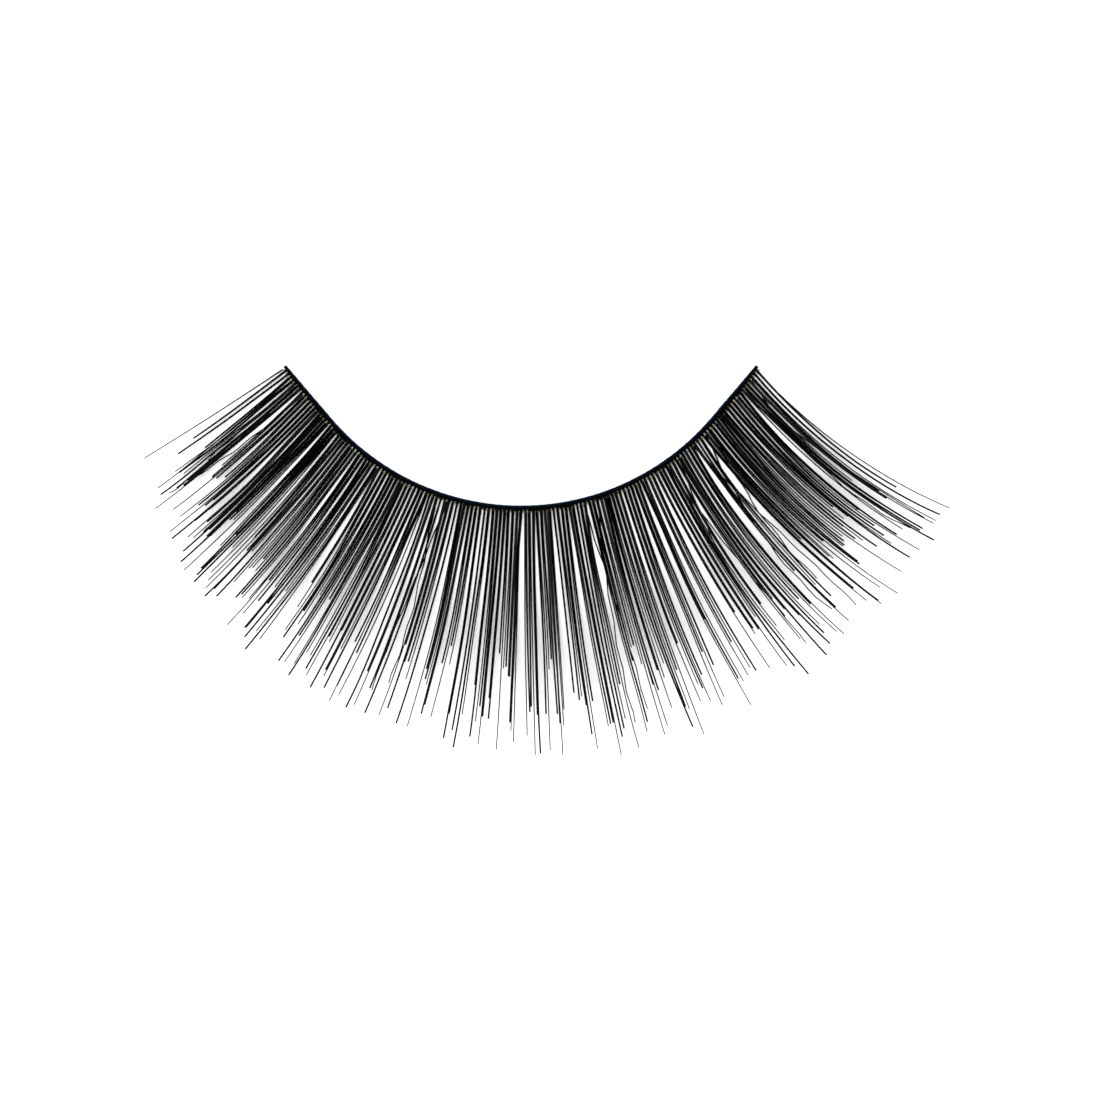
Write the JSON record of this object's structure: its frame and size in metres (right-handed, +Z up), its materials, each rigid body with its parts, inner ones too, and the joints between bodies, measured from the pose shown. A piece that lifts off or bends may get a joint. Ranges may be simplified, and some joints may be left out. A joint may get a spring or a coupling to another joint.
{
  "type": "false eyelash strip",
  "caption": "Strip of false lashes: a thin black band curved to the upper lid, with a fan of dark curled hairs knotted along its outer edge.",
  "frame": {"origin": "middle of the band's flat underside, at the lowest point of its arc", "axes": "+X along the band towards the swept outer corner, -Y the way the middle lashes point, +Z up from the surface the strip lies on"},
  "size_m": [0.0441, 0.0213, 0.005],
  "materials": {
    "band_coating": "thread coated with dried black glue, satin",
    "lash_hair": "dyed black hair, soft shine"
  },
  "bodies": {
    "root": {"band": "band_coating", "lash_fringe": "lash_hair"}
  },
  "joints": []
}
